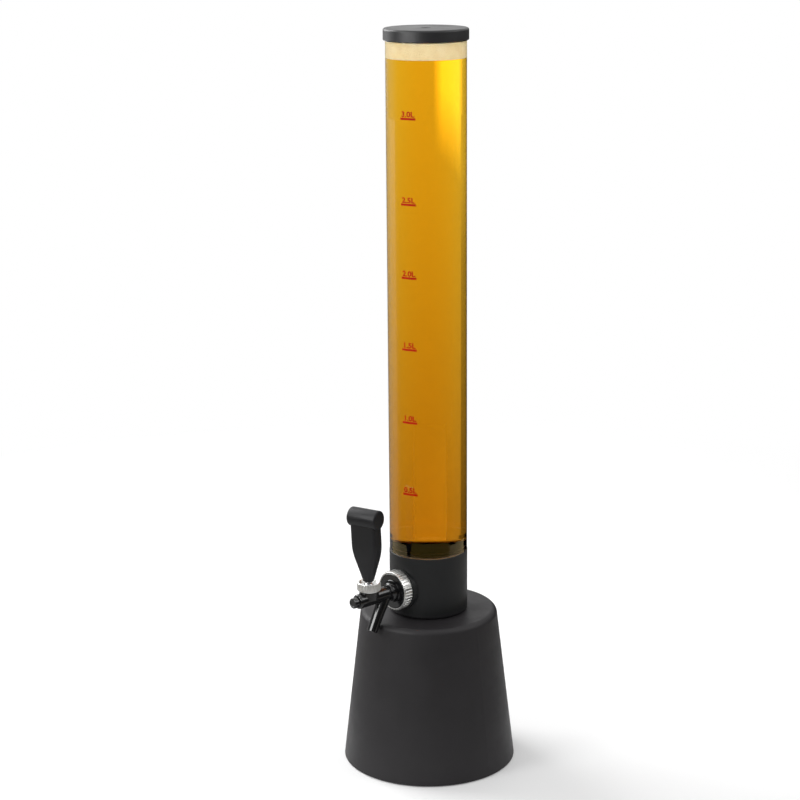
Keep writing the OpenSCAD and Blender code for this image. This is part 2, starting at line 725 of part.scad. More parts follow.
module plunger_ring() {
    color([0.12, 0.12, 0.12]) tap_ring(plunger_r + 1.15, plunger_r + slide_gap,
        ring_groove_back + 0.1, ring_groove_back + plunger_ring_w - 0.1);
}

module ball_seal() {
    foot = ball_well_z;
    color([0.2, 0.2, 0.2]) translate([0, -lever_y, 0]) rotate_extrude() polygon([
        [ball_r - 0.35, foot], [ball_r + 2, foot], [ball_r + 2, foot + 2],
        [ball_r + 0.15, foot + 2], [ball_r - 0.35, foot + 1]]);
}

module lever_bonnet() {
    recess_r = bonnet_r - 2.7;
    color([0.8, 0.8, 0.82]) translate([0, -lever_y, 0]) difference() {
        translate([0, 0, bonnet_foot_z]) intersection() {
            linear_extrude(height = bonnet_h) polygon(ridged_ring(bonnet_r, ridge_depth, bonnet_notches));
            rotate_extrude() polygon([[0, 0], [bonnet_r - 0.7, 0], [bonnet_r + 0.1, 0.8],
                [bonnet_r + 0.1, bonnet_h - 0.8], [bonnet_r - 0.7, bonnet_h], [0, bonnet_h]]);
        }
        translate([0, 0, bonnet_foot_z - 1])
            cylinder(r = lever_neck_r + fit_gap, h = neck_top_z - bonnet_foot_z + 1.2);
        translate([0, 0, bonnet_foot_z]) cylinder(r = ball_r + 3, h = bonnet_plate_z - bonnet_foot_z);
        translate([0, 0, bonnet_foot_z]) cylinder(r = ball_r - 0.15, h = bonnet_h);
        translate([0, 0, bonnet_plate_z + 0.8]) cylinder(r = recess_r, h = bonnet_h);
    }
}

module plunger() {
    flange_w = 1.3;
    neck = plunger_rod_r + 0.4;
    color([0.75, 0.76, 0.78]) difference() {
        along_tap() rotate_extrude() polygon([
            [0, seal_back - flange_w], [plunger_flange_r - 0.3, seal_back - flange_w],
            [plunger_flange_r, seal_back - flange_w + 0.3], [plunger_flange_r, seal_back],
            [neck, seal_back], [neck, seal_nose],
            [plunger_rod_r, seal_nose + 0.4], [plunger_rod_r, guide_back - 1.4],
            [plunger_r, guide_back - 0.5],
            [plunger_r, plunger_front - 0.6], [plunger_r - 0.6, plunger_front], [0, plunger_front]]);
        // flat on top and the slot that the lever's tip sits in
        translate([-barrel_r, -well_front - 1.2, tap_z + flat_h])
            cube([2 * barrel_r, well_front + 1.2 - well_back - plunger_travel + 1, barrel_r]);
        translate([-slot_half, -tip_y - slot_half, tap_z - finger_tip_r - 0.4])
            cube([2 * slot_half, 2 * slot_half, barrel_r]);
    }
}

module valve_seal() {
    bore = plunger_rod_r + 0.45;
    color([0.55, 0.2, 0.15]) along_tap() rotate_extrude() polygon([
        [bore, seal_back], [valve_seal_r, seal_back], [valve_seal_r, seal_cone_start],
        [nose_r, seal_nose], [bore, seal_nose]]);
}

module lever_ball() {
    color([0.8, 0.8, 0.82]) at_lever() {
        sphere(r = ball_r);
        translate([0, 0, -lever_arm]) cylinder(r = finger_r, h = lever_arm);
        translate([0, 0, -lever_arm]) sphere(r = finger_tip_r);
        cylinder(r = stud_r, h = stud_len - 0.6);
        translate([0, 0, stud_len - 0.6]) cylinder(r1 = stud_r, r2 = stud_r - 0.6, h = 0.6);
    }
}

// one blended length of the paddle between two outlines
module paddle_span(low_h, low_w, low_t, high_h, high_w, high_t, low_r, high_r) {
    hull() {
        translate([0, 0, low_h]) linear_extrude(height = eps) polygon(rounded_outline(low_w, low_t, low_r));
        translate([0, 0, high_h - eps]) linear_extrude(height = eps)
            polygon(rounded_outline(high_w, high_t, high_r));
    }
}

module handle() {
    foot_w = 2 * handle_neck_r;
    mid_h = handle_foot_h + 0.4 * (paddle_full_h - handle_foot_h);
    mid_w = foot_w + 0.46 * (paddle_w - foot_w);
    mid_t = foot_w + 0.3 * (paddle_t - foot_w);
    shoulder_h = paddle_full_h - 8;
    shoulder_w = paddle_w - 3.2;
    shoulder_t = paddle_t - 1;
    mid_corner_r = mid_t / 2 - 1;
    foot_bevel = 1.2;
    color([0.12, 0.12, 0.13]) at_lever() rotate([0, 0, handle_turn]) difference() {
        union() {
            translate([0, 0, handle_foot_h])
                cylinder(r1 = handle_neck_r - foot_bevel, r2 = handle_neck_r, h = foot_bevel + eps);
            paddle_span(handle_foot_h + foot_bevel, foot_w, foot_w, mid_h, mid_w, mid_t,
                foot_w / 2 - 0.1, mid_corner_r);
            paddle_span(mid_h, mid_w, mid_t, shoulder_h, shoulder_w, shoulder_t,
                mid_corner_r, paddle_corner_r);
            paddle_span(shoulder_h, shoulder_w, shoulder_t, paddle_full_h, paddle_w, paddle_t,
                paddle_corner_r, paddle_corner_r);
            paddle_span(paddle_full_h, paddle_w, paddle_t, head_h, paddle_w, paddle_t,
                paddle_corner_r, paddle_corner_r);
            translate([-head_len / 2, 0, head_h]) rotate([0, 90, 0]) rotate_extrude() polygon(concat(
                [[0, 0]], arc(head_r - head_edge_r, head_edge_r, head_edge_r, 270, 360, 5),
                arc(head_r - head_edge_r, head_len - head_edge_r, head_edge_r, 0, 90, 5), [[0, head_len]]));
        }
        // bore for the stud
        cylinder(r = stud_r + 0.05, h = stud_len + 0.5);
    }
}

base_shell();
bottom_plate();
bottom_screws();
non_slip_pad();
collar();
collar_washer();
collar_lock_nut();
tube();
tube_gasket();
lid();
lid_seal();
tap_shank();
outer_washer();
inner_washer();
shank_nut();
hub_gasket();
coupling_nut();
tap_body();
spout();
front_cap();
plunger_ring();
ball_seal();
lever_bonnet();
plunger();
valve_seal();
lever_ball();
handle();
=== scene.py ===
import json
import math

import bmesh
import bpy
from mathutils import Matrix, Vector


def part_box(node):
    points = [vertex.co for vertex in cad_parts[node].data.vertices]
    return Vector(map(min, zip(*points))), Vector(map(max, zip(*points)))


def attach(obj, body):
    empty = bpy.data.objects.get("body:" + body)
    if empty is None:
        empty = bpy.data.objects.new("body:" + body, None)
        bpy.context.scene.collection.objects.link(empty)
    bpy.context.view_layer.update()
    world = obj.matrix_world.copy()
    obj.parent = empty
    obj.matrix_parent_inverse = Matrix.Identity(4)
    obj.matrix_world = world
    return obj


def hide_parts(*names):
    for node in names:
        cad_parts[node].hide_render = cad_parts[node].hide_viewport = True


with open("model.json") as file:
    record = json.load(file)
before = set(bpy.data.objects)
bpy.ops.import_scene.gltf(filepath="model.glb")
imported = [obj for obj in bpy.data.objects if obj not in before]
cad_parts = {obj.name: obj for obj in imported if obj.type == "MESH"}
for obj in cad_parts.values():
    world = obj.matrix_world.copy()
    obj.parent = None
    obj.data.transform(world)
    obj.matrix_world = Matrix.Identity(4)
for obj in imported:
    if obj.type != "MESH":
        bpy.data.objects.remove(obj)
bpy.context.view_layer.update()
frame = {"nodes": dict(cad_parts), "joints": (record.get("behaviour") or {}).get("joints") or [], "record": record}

mm = 0.001
nodes = frame["nodes"]
print("frame loaded:", len(nodes), "nodes")


def linear(red, green, blue):
    # screen colour, 0 to 255, as the linear value that a shader wants
    def curve(level):
        return level / 255 / 12.92 if level <= 10 else ((level / 255 + 0.055) / 1.055) ** 2.4
    return tuple(curve(level) for level in (red, green, blue))


def scaled(tone, factor):
    return tuple(level * factor for level in tone)


def addObject(name, mesh, material=None):
    piece = bpy.data.objects.new(name, mesh)
    bpy.context.scene.collection.objects.link(piece)
    if material:
        mesh.materials.clear()
        mesh.materials.append(material)
    return piece


def meshFrom(name, points, faces, merge):
    # points nearer than merge become one, and the faces point outwards
    mesh = bpy.data.meshes.new(name)
    mesh.from_pydata(points, [], faces)
    body = bmesh.new()
    body.from_mesh(mesh)
    bmesh.ops.remove_doubles(body, verts=body.verts, dist=merge)
    bmesh.ops.dissolve_degenerate(body, edges=body.edges, dist=merge / 10)
    bmesh.ops.recalc_face_normals(body, faces=body.faces)
    body.to_mesh(mesh)
    body.free()
    return mesh


def sharpen(mesh, degrees=35):
    # creases stay crisp while the curves shade softly
    mesh.shade_smooth()
    mesh.set_sharp_from_angle(angle=math.radians(degrees))
    return mesh


def arcPoints(x, y, radius, start, end, steps=8):
    turns = [math.radians(start + (end - start) * i / steps) for i in range(steps + 1)]
    return [(x + radius * math.cos(t), y + radius * math.sin(t)) for t in turns]


def lathe(name, outline, steps=128):
    # a closed outline of (radius, height) pairs turned about Z
    points, faces = [], []
    for i in range(steps):
        turn = 2 * math.pi * i / steps
        points += [(r * math.cos(turn), r * math.sin(turn), z) for r, z in outline]
    count = len(outline)
    for i in range(steps):
        here, there = i * count, ((i + 1) % steps) * count
        for k in range(count):
            nextK = (k + 1) % count
            faces.append((here + k, there + k, there + nextK, here + nextK))
    return sharpen(meshFrom(name, points, faces, 1e-7))


def joinMeshes(name, meshes):
    body = bmesh.new()
    for mesh in meshes:
        body.from_mesh(mesh)
    joined = bpy.data.meshes.new(name)
    body.to_mesh(joined)
    body.free()
    return joined


def mathNode(tree, operation, first, second, clamp=False):
    # first and second are outputs or plain numbers
    node = tree.nodes.new("ShaderNodeMath")
    node.operation, node.use_clamp = operation, clamp
    for value, socket in zip((first, second), node.inputs):
        if isinstance(value, (int, float)):
            socket.default_value = value
        else:
            tree.links.new(value, socket)
    return node.outputs[0]


class Finish:
    # one material with its nodes and the Principled shader at hand
    def __init__(self, name, values=None):
        self.material = bpy.data.materials.new(name)
        self.material.use_nodes = True
        self.tree = self.material.node_tree
        self.shader = self.tree.nodes["Principled BSDF"]
        self.place = self.add("ShaderNodeTexCoord").outputs["Object"]
        for key, value in (values or {}).items():
            self.shader.inputs[key].default_value = value

    def add(self, kind, **inputs):
        node = self.tree.nodes.new(kind)
        for key, value in inputs.items():
            node.inputs[key].default_value = value
        return node

    def link(self, source, target):
        self.tree.links.new(source, target)

    def surface(self, shader):
        # shows this shader in place of the Principled one
        self.link(shader.outputs[0], self.tree.nodes["Material Output"].inputs["Surface"])

    def math(self, operation, first, second, clamp=False):
        return mathNode(self.tree, operation, first, second, clamp)

    def axes(self):
        # X, Y and Z of each point
        split = self.add("ShaderNodeSeparateXYZ")
        self.link(self.place, split.inputs["Vector"])
        return split.outputs

    def reach(self):
        # each point's distance from the origin
        node = self.add("ShaderNodeVectorMath")
        node.operation = "LENGTH"
        self.link(self.place, node.inputs[0])
        return node.outputs["Value"]

    def noise(self, scale, detail=3.0, stretch=None):
        node = self.add("ShaderNodeTexNoise", Scale=scale, Detail=detail, Roughness=0.55)
        place = self.place
        if stretch:
            mapping = self.add("ShaderNodeMapping")
            mapping.inputs["Scale"].default_value = stretch
            self.link(self.place, mapping.inputs["Vector"])
            place = mapping.outputs["Vector"]
        self.link(place, node.inputs["Vector"])
        return node.outputs["Fac"]

    def spread(self, value, low, high, fromLow=0.3, fromHigh=0.7):
        # maps fromLow to fromHigh onto low to high and keeps to these ends
        node = self.add("ShaderNodeMapRange", **{
            "From Min": fromLow, "From Max": fromHigh, "To Min": low, "To Max": high,
        })
        self.link(value, node.inputs["Value"])
        return node.outputs["Result"]

    def blend(self, factor, first, second):
        node = self.tree.nodes.new("ShaderNodeMix")
        node.data_type = "RGBA"
        self.link(factor, node.inputs["Factor"])
        node.inputs["A"].default_value = (*first, 1)
        node.inputs["B"].default_value = (*second, 1)
        return node.outputs["Result"]

    def colour(self, pattern, first, second):
        # the surface's colour goes from first to second with the pattern
        tone = self.blend(self.spread(pattern, 0, 1), first, second)
        self.link(tone, self.shader.inputs["Base Color"])

    def roughness(self, pattern, low, high):
        self.link(self.spread(pattern, low, high), self.shader.inputs["Roughness"])

    def bump(self, *layers):
        # each layer is (height output, distance in metres); they stack on each other
        previous = None
        for height, distance in layers:
            node = self.add("ShaderNodeBump", Strength=1.0, Distance=distance)
            self.link(height, node.inputs["Height"])
            if previous:
                self.link(previous, node.inputs["Normal"])
            previous = node.outputs["Normal"]
        self.link(previous, self.shader.inputs["Normal"])


# In the dictionaries of the finishes, a pattern's number is how often it repeats in a metre.
plasticLook = {"drift": 9, "rubs": 38, "waves": 60, "smoother": 0.05, "rougher": 0.06, "waveDepth": 0.8}
plastics = {  # dark and light colour, roughness, gloss, grain size and its depth
    "shellPlastic": ((34, 32, 34), (40, 38, 40), 0.5, 0.28, 0.6 * mm, 0.06 * mm),
    "collarPlastic": ((28, 29, 30), (33, 34, 35), 0.44, 0.29, 0.9 * mm, 0.04 * mm),
    "lidPlastic": ((34, 34, 35), (40, 40, 41), 0.4, 0.42, 0.8 * mm, 0.04 * mm),
    "handlePlastic": ((26, 26, 28), (32, 32, 34), 0.42, 0.27, 0.8 * mm, 0.05 * mm),
    "tapPlastic": ((18, 18, 19), (24, 24, 25), 0.15, 0.6, 3 * mm, 0.03 * mm),
}


def mouldedPlastic(name, dark, light, roughness, gloss, grain, depth):
    # moulded black plastic: fine grain, slow tone drift and rubbed patches
    look = plasticLook
    finish = Finish(name, {"Specular IOR Level": gloss})
    finish.colour(finish.noise(look["drift"], 4), linear(*dark), linear(*light))
    rubs = finish.noise(look["rubs"], 5)
    finish.roughness(rubs, roughness - look["smoother"], roughness + look["rougher"])
    waves = finish.noise(look["waves"], 2)
    finish.bump((finish.noise(1 / grain, 2), depth), (waves, depth * look["waveDepth"]))
    return finish.material


rubberLook = {
    "speck": 900,
    "wear": 120,
    "grain": 1600,
    "paler": 1.5,
    "gloss": 0.25,
    "smooth": 0.72,
    "rough": 0.88,
    "depth": 0.04 * mm,
}


def softRubber(name, tone):
    look = rubberLook
    finish = Finish(name, {"Specular IOR Level": look["gloss"]})
    finish.colour(finish.noise(look["speck"], 2), tone, scaled(tone, look["paler"]))
    finish.roughness(finish.noise(look["wear"]), look["smooth"], look["rough"])
    finish.bump((finish.noise(look["grain"], 2), look["depth"]))
    return finish.material


platingLook = {
    "haze": 70,
    "wear": 400,
    "hairlines": 500,
    "stretch": (1, 1, 0.1),
    "darker": 0.9,
    "rougher": 0.12,
    "depth": 0.008 * mm,
}


def platedMetal(name, tone, roughness):
    # bright metal with faint haze and hairlines
    look = platingLook
    finish = Finish(name, {"Metallic": 1.0})
    finish.colour(finish.noise(look["haze"], 5), scaled(tone, look["darker"]), tone)
    finish.roughness(finish.noise(look["wear"], 4), roughness, roughness + look["rougher"])
    finish.bump((finish.noise(look["hairlines"], 2, look["stretch"]), look["depth"]))
    return finish.material


wallLook = {
    "index": 1.49,
    "tint": (0.985, 0.995, 0.99),
    "haze": 60,
    "hazeRoughness": 0.03,
    "flow": 14,
    "stretch": (1, 1, 0.06),
    "depth": 0.06 * mm,
}
footHighlightLook = {  # a painted highlight: a pale, rough, less clear band at the foot of the wall, where the tube's shoulder catches the light, from low to high above the collar's top
    "low": -0.3 * mm,
    "high": 0.9 * mm,
    "ease": 0.2 * mm,
    "roughness": 0.5,
    "cover": 0.45,
    "tone": (0.7, 0.6, 0.35),
}


def clearPlastic(name, footZ):
    # clear tube wall: a little haze, faint flow lines along it, and a painted highlight at its foot: a pale line
    # where its shoulder catches the light
    look, footHighlight = wallLook, footHighlightLook
    finish = Finish(name, {"IOR": look["index"], "Transmission Weight": 1.0})
    height = finish.axes()["Z"]
    low, high = footZ + footHighlight["low"], footZ + footHighlight["high"]
    below = finish.spread(height, 1, 0, high - footHighlight["ease"], high)
    above = finish.spread(height, 0, 1, low, low + footHighlight["ease"])
    # painted highlight: inside this band at the wall's foot, the wall turns paler, rougher and less clear
    highlightBand = finish.math("MULTIPLY", below, above)
    haze = finish.spread(finish.noise(look["haze"], 4), 0, look["hazeRoughness"])
    rough = finish.math("MAXIMUM", haze, finish.math("MULTIPLY", highlightBand, footHighlight["roughness"]))
    finish.link(rough, finish.shader.inputs["Roughness"])
    clear = finish.math("SUBTRACT", 1.0, finish.math("MULTIPLY", highlightBand, footHighlight["cover"]))
    finish.link(clear, finish.shader.inputs["Transmission Weight"])
    finish.link(finish.blend(highlightBand, look["tint"], footHighlight["tone"]), finish.shader.inputs["Base Color"])
    finish.bump((finish.noise(look["flow"], 2, look["stretch"]), look["depth"]))
    return finish.material


drinkLook = {
    "index": 1.333,
    "absorbed": (0.988, 0.823, 0.0, 1),
    "density": 57.0,
    "top": (1, 1, 1),
    "foot": (0.535, 0.405, 0.6),
    "footHeight": 0.26,
}


def drinkLiquid(name, topZ):
    # golden drink: the depth gives its colour, and it is a little paler towards the foam
    look = drinkLook
    finish = Finish(name, {"IOR": look["index"], "Roughness": 0.0, "Transmission Weight": 1.0})
    height = finish.spread(finish.axes()["Z"], 0, 1, look["footHeight"], topZ)
    finish.link(finish.blend(height, look["foot"], look["top"]), finish.shader.inputs["Base Color"])
    depth = finish.add("ShaderNodeVolumeAbsorption", Density=look["density"], Color=look["absorbed"])
    finish.link(depth.outputs["Volume"], finish.tree.nodes["Material Output"].inputs["Volume"])
    return finish.material


foamLook = {
    "dark": (234, 209, 157),
    "light": (243, 224, 180),
    "clouds": 90,
    "wear": 300,
    "bubbles": 700,
    "bubbleDepth": 0.5 * mm,
    "smooth": 0.35,
    "rough": 0.55,
    "shader": {
        "Specular IOR Level": 0.3,
        "Subsurface Weight": 0.3,
        "Subsurface Scale": 4 * mm,
        "Subsurface Radius": (1.0, 0.7, 0.4),
    },
}


def beerFoam(name):
    # cream foam of fine bubbles
    look = foamLook
    finish = Finish(name, look["shader"])
    finish.colour(finish.noise(look["clouds"], 4), linear(*look["dark"]), linear(*look["light"]))
    finish.roughness(finish.noise(look["wear"]), look["smooth"], look["rough"])
    bubbles = finish.add("ShaderNodeTexVoronoi", Scale=look["bubbles"])
    finish.link(finish.place, bubbles.inputs["Vector"])
    finish.bump((bubbles.outputs["Distance"], look["bubbleDepth"]))
    return finish.material


inkLook = {
    "cover": 1400,
    "wear": 600,
    "darker": 0.8,
    "gloss": 0.05,
    "smooth": 0.35,
    "rough": 0.5,
    "depth": 0.02 * mm,
}


def printedInk(name, tone):
    # screen-printed ink with slightly uneven cover
    look = inkLook
    finish = Finish(name, {"Specular IOR Level": look["gloss"]})
    cover = finish.noise(look["cover"], 3)
    finish.colour(cover, scaled(tone, look["darker"]), tone)
    finish.roughness(finish.noise(look["wear"]), look["smooth"], look["rough"])
    finish.bump((cover, look["depth"]))
    return finish.material


plastic = {name: mouldedPlastic(name, *values) for name, values in plastics.items()}
blackRubber = softRubber("blackRubber", linear(24, 24, 24))
padRubber = softRubber("padRubber", linear(22, 22, 22))
chromePlate = platedMetal("chromePlate", (0.86, 0.86, 0.84), 0.32)
stainless = platedMetal("stainless", (0.6, 0.6, 0.61), 0.22)
clearWall = clearPlastic("clearWall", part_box("collar")[1].z)
printRed = printedInk("printRed", linear(194, 32, 0))
print("materials ready")

slotFinish = {
    "base_plastic": plastic["shellPlastic"],
    "collar_plastic": plastic["collarPlastic"],
    "lid_plastic": plastic["lidPlastic"],
    "clear_tube": clearWall,
    "tap_plastic": plastic["tapPlastic"],
    "handle_plastic": plastic["handlePlastic"],
    "chrome": chromePlate,
    "screw_steel": stainless,
    "black_rubber": blackRubber,
    "pad_rubber": padRubber,
}
for row in frame["record"]["subparts"]:
    for holder in nodes[row["node"]].material_slots:
        holder.material = slotFinish[row["material_slot"]]


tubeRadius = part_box("tube")[1].x
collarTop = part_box("collar")[1].z
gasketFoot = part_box("tube_gasket")[0].z
towerSize = {  # what the drink touches inside the tube and the collar
    "tubeWall": 2.0 * mm,
    "neckWall": 1.85 * mm,
    "neckRadius": 41.75 * mm,
    "shoulderHeight": 7 * mm,
    "shoulderRise": 4 * mm,
    "cavityRadius": 40 * mm,
    "cavityFloor": 192.5 * mm,
    "bowlRadius": 4 * mm,
}
drinkSize = {
    "surface": 820.5 * mm,
    "wallRise": 0.24 * mm,  # how far the drink climbs at the wall
    "soak": 0.3 * mm,  # how far drink and foam reach into the clear wall, so that no film of air shows
    "foamGap": 0.08 * mm,
    "foamTop": 839.5 * mm,
    "foamEdge": 0.6 * mm,
    "foamShoulder": 2 * mm,
    "foamDip": 0.8 * mm,
    "steps": 160,
}


def drinkOutline():
    size, tower = drinkSize, towerSize
    wide = tubeRadius - tower["tubeWall"] + size["soak"]
    neck = tower["neckRadius"] - tower["neckWall"] + size["soak"]
    cavity = tower["cavityRadius"] + size["soak"]
    shoulder = collarTop + tower["shoulderHeight"]
    floorZ = tower["cavityFloor"] - size["soak"]
    bowl = tower["bowlRadius"]
    points = [(0, floorZ)]
    points += arcPoints(cavity - bowl, floorZ + bowl, bowl, 270, 360, 6)
    points += [(cavity, gasketFoot - size["soak"]), (neck, gasketFoot)]
    points += [(neck, shoulder - tower["shoulderRise"]), (wide, shoulder)]
    points += [(wide, size["surface"] + size["wallRise"]), (0, size["surface"])]
    return points


def foamOutline():
    size = drinkSize
    wide = tubeRadius - towerSize["tubeWall"] + size["soak"]
    low, high = size["surface"] + size["foamGap"], size["foamTop"]
    points = [(0, low), (wide, low + size["wallRise"]), (wide, high - size["foamEdge"])]
    return points + [(wide - size["foamShoulder"], high), (0, high - size["foamDip"])]


drinkFinish = drinkLiquid("goldenDrink", drinkSize["surface"])
foamFinish = beerFoam("creamFoam")
drink = addObject("drink", lathe("drink", drinkOutline(), drinkSize["steps"]), drinkFinish)
foam = addObject("foam", lathe("foam", foamOutline(), drinkSize["steps"]), foamFinish)
for piece in (drink, foam):
    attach(piece, "tower")
print("drink and foam poured")


markSize = {
    # upper edge of each mark's bar, in millimetres above the floor
    "heights": {"0.5": 334, "1.0": 418.3, "1.5": 502.5, "2.0": 583.8, "2.5": 665.6, "3.0": 759.3},
    "letterHeight": 5.7 * mm,
    "capitals": 0.69,  # height of a capital as a share of the font's size
    "widen": 1.12,
    "weight": 0.27 * mm,
    "gap": 1.0 * mm,
    "barHeight": 2.4 * mm,
    "barLength": 18.5 * mm,
    "cutStep": 0.8 * mm,  # the flat marks are cut this fine before they bend round the tube
    "side": 19.5,  # degrees from the tap towards +X
    "ink": 0.12 * mm,
    "clear": 0.05 * mm,
}


def wrapOnTube(body, turn):
    # x runs round the tube, y runs up it, and z stands off it
    radius = tubeRadius + markSize["clear"]
    for vert in body.verts:
        around = math.radians(turn - 90) + vert.co.x / radius
        out = radius + vert.co.z
        vert.co = (out * math.cos(around), out * math.sin(around), vert.co.y)


def flatMark(label, height):
    # the letters above their bar, flat
    size = markSize
    letters = bpy.data.curves.new("letters", "FONT")
    letters.body = label + "L"
    letters.align_x = "CENTER"
    letters.size = size["letterHeight"] / size["capitals"]
    letters.offset = size["weight"]
    letters.extrude = size["ink"] / 2
    holder = addObject("letters", letters)
    flat = bpy.data.meshes.new_from_object(holder.evaluated_get(bpy.context.evaluated_depsgraph_get()))
    bpy.data.objects.remove(holder)
    flat.transform(Matrix.Diagonal((size["widen"], 1, 1, 1)))
    flat.transform(Matrix.Translation((0, height + size["gap"], size["ink"] / 2)))
    body = bmesh.new()
    body.from_mesh(flat)
    half, low = size["barLength"] / 2, height - size["barHeight"]
    outline = ((-half, low), (half, low), (half, height), (-half, height))
    corners = [body.verts.new((x, y, z)) for z in (0, size["ink"]) for x, y in outline]
    for face in ((3, 2, 1, 0), (4, 5, 6, 7), (0, 1, 5, 4), (1, 2, 6, 5), (2, 3, 7, 6), (3, 0, 4, 7)):
        body.faces.new([corners[k] for k in face])
    return body


def volumeMarks():
    size = markSize
    joined = bmesh.new()
    for label, height in size["heights"].items():
        body = flatMark(label, height * mm)
        cut = -size["barLength"] / 2 + size["cutStep"]
        while cut < size["barLength"] / 2:
            geometry = body.verts[:] + body.edges[:] + body.faces[:]
            bmesh.ops.bisect_plane(body, geom=geometry, plane_co=(cut, 0, 0), plane_no=(1, 0, 0), dist=1e-7)
            cut += size["cutStep"]
        wrapOnTube(body, size["side"])
        part = bpy.data.meshes.new("mark")
        body.to_mesh(part)
        body.free()
        joined.from_mesh(part)
    bmesh.ops.remove_doubles(joined, verts=joined.verts, dist=1e-6)
    bmesh.ops.recalc_face_normals(joined, faces=joined.faces)
    mesh = bpy.data.meshes.new("volume_marks")
    joined.to_mesh(mesh)
    joined.free()
    return sharpen(mesh, 40)


marks = addObject("volume_marks", volumeMarks(), printRed)
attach(marks, "tower")
print("volume marks printed")


def ridgeTree():
    # rounded ridges round a turned ring, about Z
    tree = bpy.data.node_groups.new("ridgedRing", "GeometryNodeTree")
    for name, kind, default in (
        ("Ring", "NodeSocketGeometry", None),
        ("Ridge count", "NodeSocketInt", 48),
        ("Ring radius", "NodeSocketFloat", 0.022),
        ("Ridge radius", "NodeSocketFloat", 0.0008),
        ("Ridge sides", "NodeSocketInt", 10),
        ("Ridge length", "NodeSocketFloat", 0.01),
        ("Ridge middle", "NodeSocketFloat", 0.0),
        ("Finish", "NodeSocketMaterial", None),
    ):
        socket = tree.interface.new_socket(name, in_out="INPUT", socket_type=kind)
        if default is not None:
            socket.default_value = default
    tree.interface.new_socket("Ring", in_out="OUTPUT", socket_type="NodeSocketGeometry")
    new, link = tree.nodes.new, tree.links.new
    start, end = new("NodeGroupInput"), new("NodeGroupOutput")
    circle = new("GeometryNodeMeshCircle")
    link(start.outputs["Ridge count"], circle.inputs["Vertices"])
    link(start.outputs["Ring radius"], circle.inputs["Radius"])
    bar = new("GeometryNodeMeshCylinder")
    link(start.outputs["Ridge sides"], bar.inputs["Vertices"])
    link(start.outputs["Ridge radius"], bar.inputs["Radius"])
    link(start.outputs["Ridge length"], bar.inputs["Depth"])
    spread = new("GeometryNodeInstanceOnPoints")
    link(circle.outputs["Mesh"], spread.inputs["Points"])
    link(bar.outputs["Mesh"], spread.inputs["Instance"])
    lift = new("ShaderNodeCombineXYZ")
    link(start.outputs["Ridge middle"], lift.inputs["Z"])
    move = new("GeometryNodeTransform")
    link(spread.outputs["Instances"], move.inputs["Geometry"])
    link(lift.outputs["Vector"], move.inputs["Translation"])
    join = new("GeometryNodeJoinGeometry")
    link(move.outputs["Geometry"], join.inputs["Geometry"])
    link(start.outputs["Ring"], join.inputs["Geometry"])
    real = new("GeometryNodeRealizeInstances")
    link(join.outputs["Geometry"], real.inputs["Geometry"])
    paint = new("GeometryNodeSetMaterial")
    link(real.outputs["Geometry"], paint.inputs["Geometry"])
    link(start.outputs["Finish"], paint.inputs["Material"])
    link(paint.outputs["Geometry"], end.inputs["Ring"])
    return tree


ringTree = ridgeTree()


def grownMesh(name, mesh, tree, values):
    # runs a node tree on a mesh and gives back the plain result
    holder = addObject(name + "Holder", mesh)
    modifier = holder.modifiers.new("grow", "NODES")
    modifier.node_group = tree
    for socket in tree.interface.items_tree:
        if socket.in_out == "INPUT" and socket.name in values:
            modifier[socket.identifier] = values[socket.name]
    holder.update_tag()
    bpy.context.view_layer.update()
    grown = bpy.data.meshes.new_from_object(holder.evaluated_get(bpy.context.evaluated_depsgraph_get()))
    grown.name = name
    holder.modifiers.clear()
    bpy.data.objects.remove(holder)
    return grown


def knurled(name, ring, size, outer, low, high):
    # the turned ring with its ridges, which stop short of both rims
    return grownMesh(name, ring, ringTree, {
        "Ridge count": size["ridges"],
        "Ring radius": outer,
        "Ridge radius": size["ridgeRadius"],
        "Ridge sides": size["ridgeSides"],
        "Ridge length": high - low - 2 * size["rim"],
        "Ridge middle": (high + low) / 2,
        "Finish": chromePlate,
    })


def bevelledSide(outer, low, high, bevel, steps=4):
    # the outer side of a ring's outline, with both of its edges rounded
    points = arcPoints(outer - bevel, low + bevel, bevel, 270, 360, steps)
    return points + arcPoints(outer - bevel, high - bevel, bevel, 0, 90, steps)


couplingSize = {
    "ridges": 38,
    "ridgeRadius": 0.8 * mm,
    "ridgeSides": 10,
    "inner": 21.46 * mm,
    "lipInner": 20.71 * mm,
    "lip": 2.05 * mm,
    "bevel": 0.7 * mm,
    "rim": 1.1 * mm,
    "steps": 192,
}
bonnetSize = {
    "ridges": 28,
    "ridgeRadius": 0.62 * mm,
    "ridgeSides": 10,
    "inner": 10.1 * mm,
    "recess": 10.9 * mm,
    "chamfer": 0.5 * mm,
    "plate": 233.6 * mm,
    "plateThick": 0.8 * mm,
    "hole": 5.35 * mm,
    "neck": 8.5 * mm,
    "neckTop": 232.0 * mm,
    "bevel": 0.6 * mm,
    "rim": 0.9 * mm,
    "steps": 144,
}


def couplingNut():
    # turned about Z with its lip on top, then laid along the tap
    size = couplingSize
    low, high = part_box("coupling_nut")
    outer = high.x - size["ridgeRadius"]
    length = high.y - low.y
    lipFoot = length - size["lip"]
    outline = [(size["inner"], 0)] + bevelledSide(outer, 0, length, size["bevel"])
    outline += [(size["lipInner"], length), (size["lipInner"], lipFoot), (size["inner"], lipFoot)]
    ring = lathe("couplingRing", outline, size["steps"])
    grown = knurled("coupling_nut_knurled", ring, size, outer, 0, length)
    middle = (low + high) / 2
    grown.transform(Matrix.Translation((middle.x, high.y, middle.z)) @ Matrix.Rotation(math.pi / 2, 4, "X"))
    return sharpen(grown, 40)


